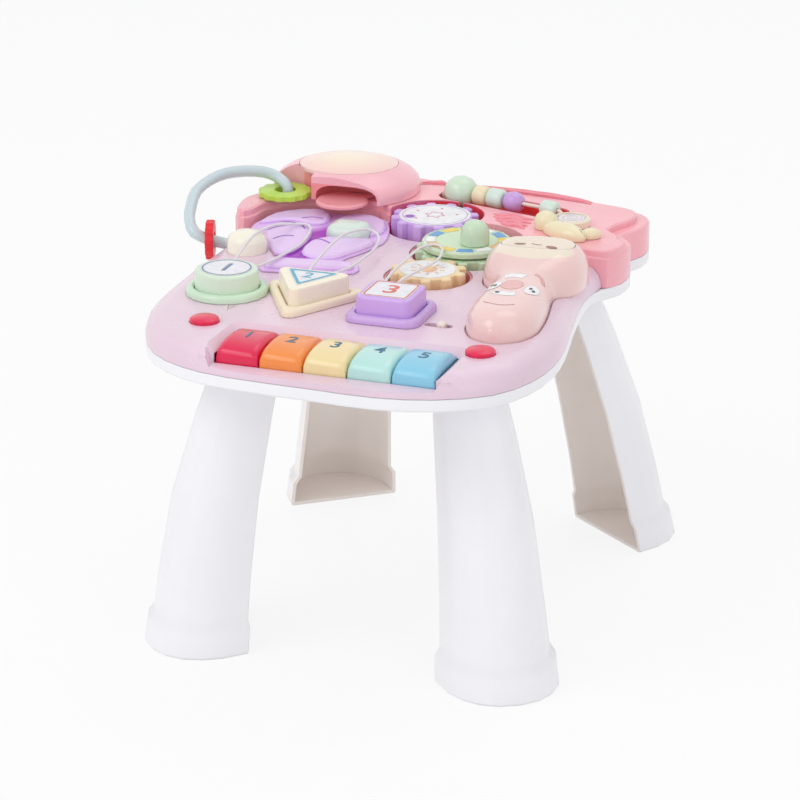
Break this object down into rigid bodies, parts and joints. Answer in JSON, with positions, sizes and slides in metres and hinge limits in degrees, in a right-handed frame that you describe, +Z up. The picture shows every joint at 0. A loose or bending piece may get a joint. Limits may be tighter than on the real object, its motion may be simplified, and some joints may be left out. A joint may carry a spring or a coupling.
{
  "type": "toddler activity table",
  "caption": "Toddler activity table on plug-in legs with piano keys, push buttons, meshed gears, lift-out blocks, beads on a rod, a lift-out handset and a wire hoop.",
  "frame": {"origin": "middle of the bounding box, on the floor under the feet", "axes": "+X to the right of a child who plays the keys, +Y away from that child, +Z up"},
  "size_m": [0.3482, 0.4068, 0.2728],
  "materials": {
    "white": "semi-gloss white",
    "lavender": "glossy lavender",
    "pink": "glossy pink",
    "coral": "glossy coral pink",
    "blush": "glossy blush pink",
    "rose": "rose",
    "mint": "glossy mint green",
    "pale_mint": "glossy pale mint",
    "cream_yellow": "glossy cream yellow",
    "cream_white": "glossy cream white",
    "violet": "glossy violet",
    "lilac": "glossy lilac",
    "lens": "frosted cream",
    "red": "glossy red",
    "orange": "glossy orange",
    "key_cream": "glossy yellow cream",
    "key_mint": "glossy mint",
    "key_blue": "glossy sky blue",
    "inner": "matt grey",
    "hoop": "glossy grey-blue",
    "lime": "glossy lime green",
    "dark": "dark grey",
    "board": "green circuit board",
    "string": "white braided string"
  },
  "bodies": {
    "table": {"bottom_tray": "white", "front_cover": "lavender", "rear_cover": "pink", "leg_front_left": "white", "leg_front_right": "white", "leg_rear_left": "white", "leg_rear_right": "white", "key_bar": "inner", "petal_insert": "lilac", "switch_bed": "rose", "block_seat_circle": "mint", "block_seat_triangle": "cream_yellow", "block_seat_square": "violet", "gear_tray": "rose", "dome_housing": "coral", "dome_lens": "lens", "round_paddle": "pink", "bead_rod": "cream_white", "snail_body": "cream_yellow", "hoop_rail": "hoop", "speaker": "dark", "circuit_board": "board", "battery_door": "white", "battery_1": "dark", "battery_2": "dark", "battery_3": "dark"},
    "key_1_body": {"key_1": "red"},
    "key_2_body": {"key_2": "orange"},
    "key_3_body": {"key_3": "key_cream"},
    "key_4_body": {"key_4": "key_mint"},
    "key_5_body": {"key_5": "key_blue"},
    "red_button_left_body": {"red_button_left": "red"},
    "red_button_right_body": {"red_button_right": "red"},
    "egg_button_body": {"egg_button": "cream_yellow"},
    "mint_button_body": {"mint_button": "mint"},
    "switch_body": {"slide_switch": "cream_white"},
    "mint_gear_body": {"mint_gear": "mint", "gear_knob": "mint"},
    "purple_gear_body": {"purple_gear": "lilac"},
    "cream_gear_body": {"cream_gear": "cream_yellow"},
    "snail_shell_body": {"snail_shell": "cream_yellow"},
    "bead_ball_body": {"bead_ball": "mint"},
    "bead_barrel_cream_body": {"bead_barrel_cream": "cream_yellow"},
    "bead_barrel_mint_body": {"bead_barrel_mint": "pale_mint"},
    "bead_round_purple_body": {"bead_round_purple": "violet"},
    "bead_tail_body": {"bead_tail": "pale_mint"},
    "handset": {"phone_body": "blush", "phone_muzzle": "cream_white"},
    "block_circle_body": {"block_circle": "mint", "string_loop_1": "string"},
    "block_triangle_body": {"block_triangle": "cream_yellow", "string_loop_2": "string"},
    "block_square_body": {"block_square": "violet", "string_loop_3": "string"},
    "green_ring_body": {"green_ring": "lime"},
    "red_disc_body": {"red_disc": "red"}
  },
  "joints": [
    {"name": "key_1_press", "type": "hinge", "parent": "table", "child": "key_1_body", "pos_m": [-0.03587, -0.13792, 0.2284], "axis": [1, 0, 0], "range_deg": [0, 3.5], "stiffness_Nm_per_rad": 0.4, "springref_deg": -5.73},
    {"name": "key_2_press", "type": "hinge", "parent": "table", "child": "key_2_body", "pos_m": [-0.00527, -0.13792, 0.2284], "axis": [1, 0, 0], "range_deg": [0, 3.5], "stiffness_Nm_per_rad": 0.4, "springref_deg": -5.73},
    {"name": "key_3_press", "type": "hinge", "parent": "table", "child": "key_3_body", "pos_m": [0.02533, -0.13792, 0.2284], "axis": [1, 0, 0], "range_deg": [0, 3.5], "stiffness_Nm_per_rad": 0.4, "springref_deg": -5.73},
    {"name": "key_4_press", "type": "hinge", "parent": "table", "child": "key_4_body", "pos_m": [0.05593, -0.13792, 0.2284], "axis": [1, 0, 0], "range_deg": [0, 3.5], "stiffness_Nm_per_rad": 0.4, "springref_deg": -5.73},
    {"name": "key_5_press", "type": "hinge", "parent": "table", "child": "key_5_body", "pos_m": [0.08653, -0.13792, 0.2284], "axis": [1, 0, 0], "range_deg": [0, 3.5], "stiffness_Nm_per_rad": 0.4, "springref_deg": -5.73},
    {"name": "red_button_left_press", "type": "slide", "parent": "table", "child": "red_button_left_body", "axis": [0, 0, -1], "range_m": [0, 0.0025], "stiffness_N_per_m": 300, "springref_m": -0.001},
    {"name": "red_button_right_press", "type": "slide", "parent": "table", "child": "red_button_right_body", "axis": [0, 0, -1], "range_m": [0, 0.0025], "stiffness_N_per_m": 300, "springref_m": -0.001},
    {"name": "egg_button_press", "type": "slide", "parent": "table", "child": "egg_button_body", "axis": [0, 0, -1], "range_m": [0, 0.003], "stiffness_N_per_m": 300, "springref_m": -0.001},
    {"name": "mint_button_press", "type": "slide", "parent": "table", "child": "mint_button_body", "axis": [0, 0, -1], "range_m": [0, 0.003], "stiffness_N_per_m": 300, "springref_m": -0.001},
    {"name": "switch_slide", "type": "slide", "parent": "table", "child": "switch_body", "axis": [1, 0, 0], "range_m": [-0.0082, 0.0034]},
    {"name": "mint_gear_spin", "type": "hinge", "parent": "table", "child": "mint_gear_body", "pos_m": [0.04144, 0.05601, 0.23], "axis": [0, 0, 1], "continuous": true},
    {"name": "purple_gear_spin", "type": "hinge", "parent": "table", "child": "purple_gear_body", "pos_m": [0.00018, 0.10624, 0.23], "axis": [0, 0, 1], "continuous": true},
    {"name": "cream_gear_spin", "type": "hinge", "parent": "table", "child": "cream_gear_body", "pos_m": [0.03278, -0.00336, 0.23], "axis": [0, 0, 1], "continuous": true},
    {"name": "snail_shell_spin", "type": "hinge", "parent": "table", "child": "snail_shell_body", "pos_m": [0.10133, 0.11381, 0.2493], "axis": [0, 0, 1], "continuous": true},
    {"name": "bead_ball_spin", "type": "hinge", "parent": "table", "child": "bead_ball_body", "pos_m": [0.00384, 0.15578, 0.2522], "axis": [0.9659, -0.2588, 0], "continuous": true},
    {"name": "bead_barrel_cream_spin", "type": "hinge", "parent": "table", "child": "bead_barrel_cream_body", "pos_m": [0.02152, 0.15104, 0.2522], "axis": [0.9659, -0.2588, 0], "continuous": true},
    {"name": "bead_barrel_mint_spin", "type": "hinge", "parent": "table", "child": "bead_barrel_mint_body", "pos_m": [0.03408, 0.14768, 0.2522], "axis": [0.9659, -0.2588, 0], "continuous": true},
    {"name": "bead_round_purple_spin", "type": "hinge", "parent": "table", "child": "bead_round_purple_body", "pos_m": [0.0482, 0.14389, 0.2522], "axis": [0.9659, -0.2588, 0], "continuous": true},
    {"name": "bead_tail_spin", "type": "hinge", "parent": "table", "child": "bead_tail_body", "pos_m": [0.07807, 0.13589, 0.2522], "axis": [0.9659, -0.2588, 0], "continuous": true},
    {"name": "handset_lift", "type": "slide", "parent": "table", "child": "handset", "axis": [0, 0, 1], "range_m": [0, 0.04]},
    {"name": "block_circle_lift", "type": "slide", "parent": "table", "child": "block_circle_body", "axis": [0, 0, 1], "range_m": [0, 0.03]},
    {"name": "block_triangle_lift", "type": "slide", "parent": "table", "child": "block_triangle_body", "axis": [0, 0, 1], "range_m": [0, 0.03]},
    {"name": "block_square_lift", "type": "slide", "parent": "table", "child": "block_square_body", "axis": [0, 0, 1], "range_m": [0, 0.03]},
    {"name": "green_ring_spin", "type": "hinge", "parent": "table", "child": "green_ring_body", "pos_m": [-0.11968, 0.1134, 0.25155], "axis": [0, 0, 1], "continuous": true},
    {"name": "red_disc_spin", "type": "hinge", "parent": "table", "child": "red_disc_body", "pos_m": [-0.14404, 0.02702, 0.23764], "axis": [-0.954, -0.2999, 0], "continuous": true}
  ],
  "couplings": [
    {"joint": "purple_gear_spin", "follows": "mint_gear_spin", "ratio": -1.1667},
    {"joint": "cream_gear_spin", "follows": "mint_gear_spin", "ratio": -1.4}
  ]
}
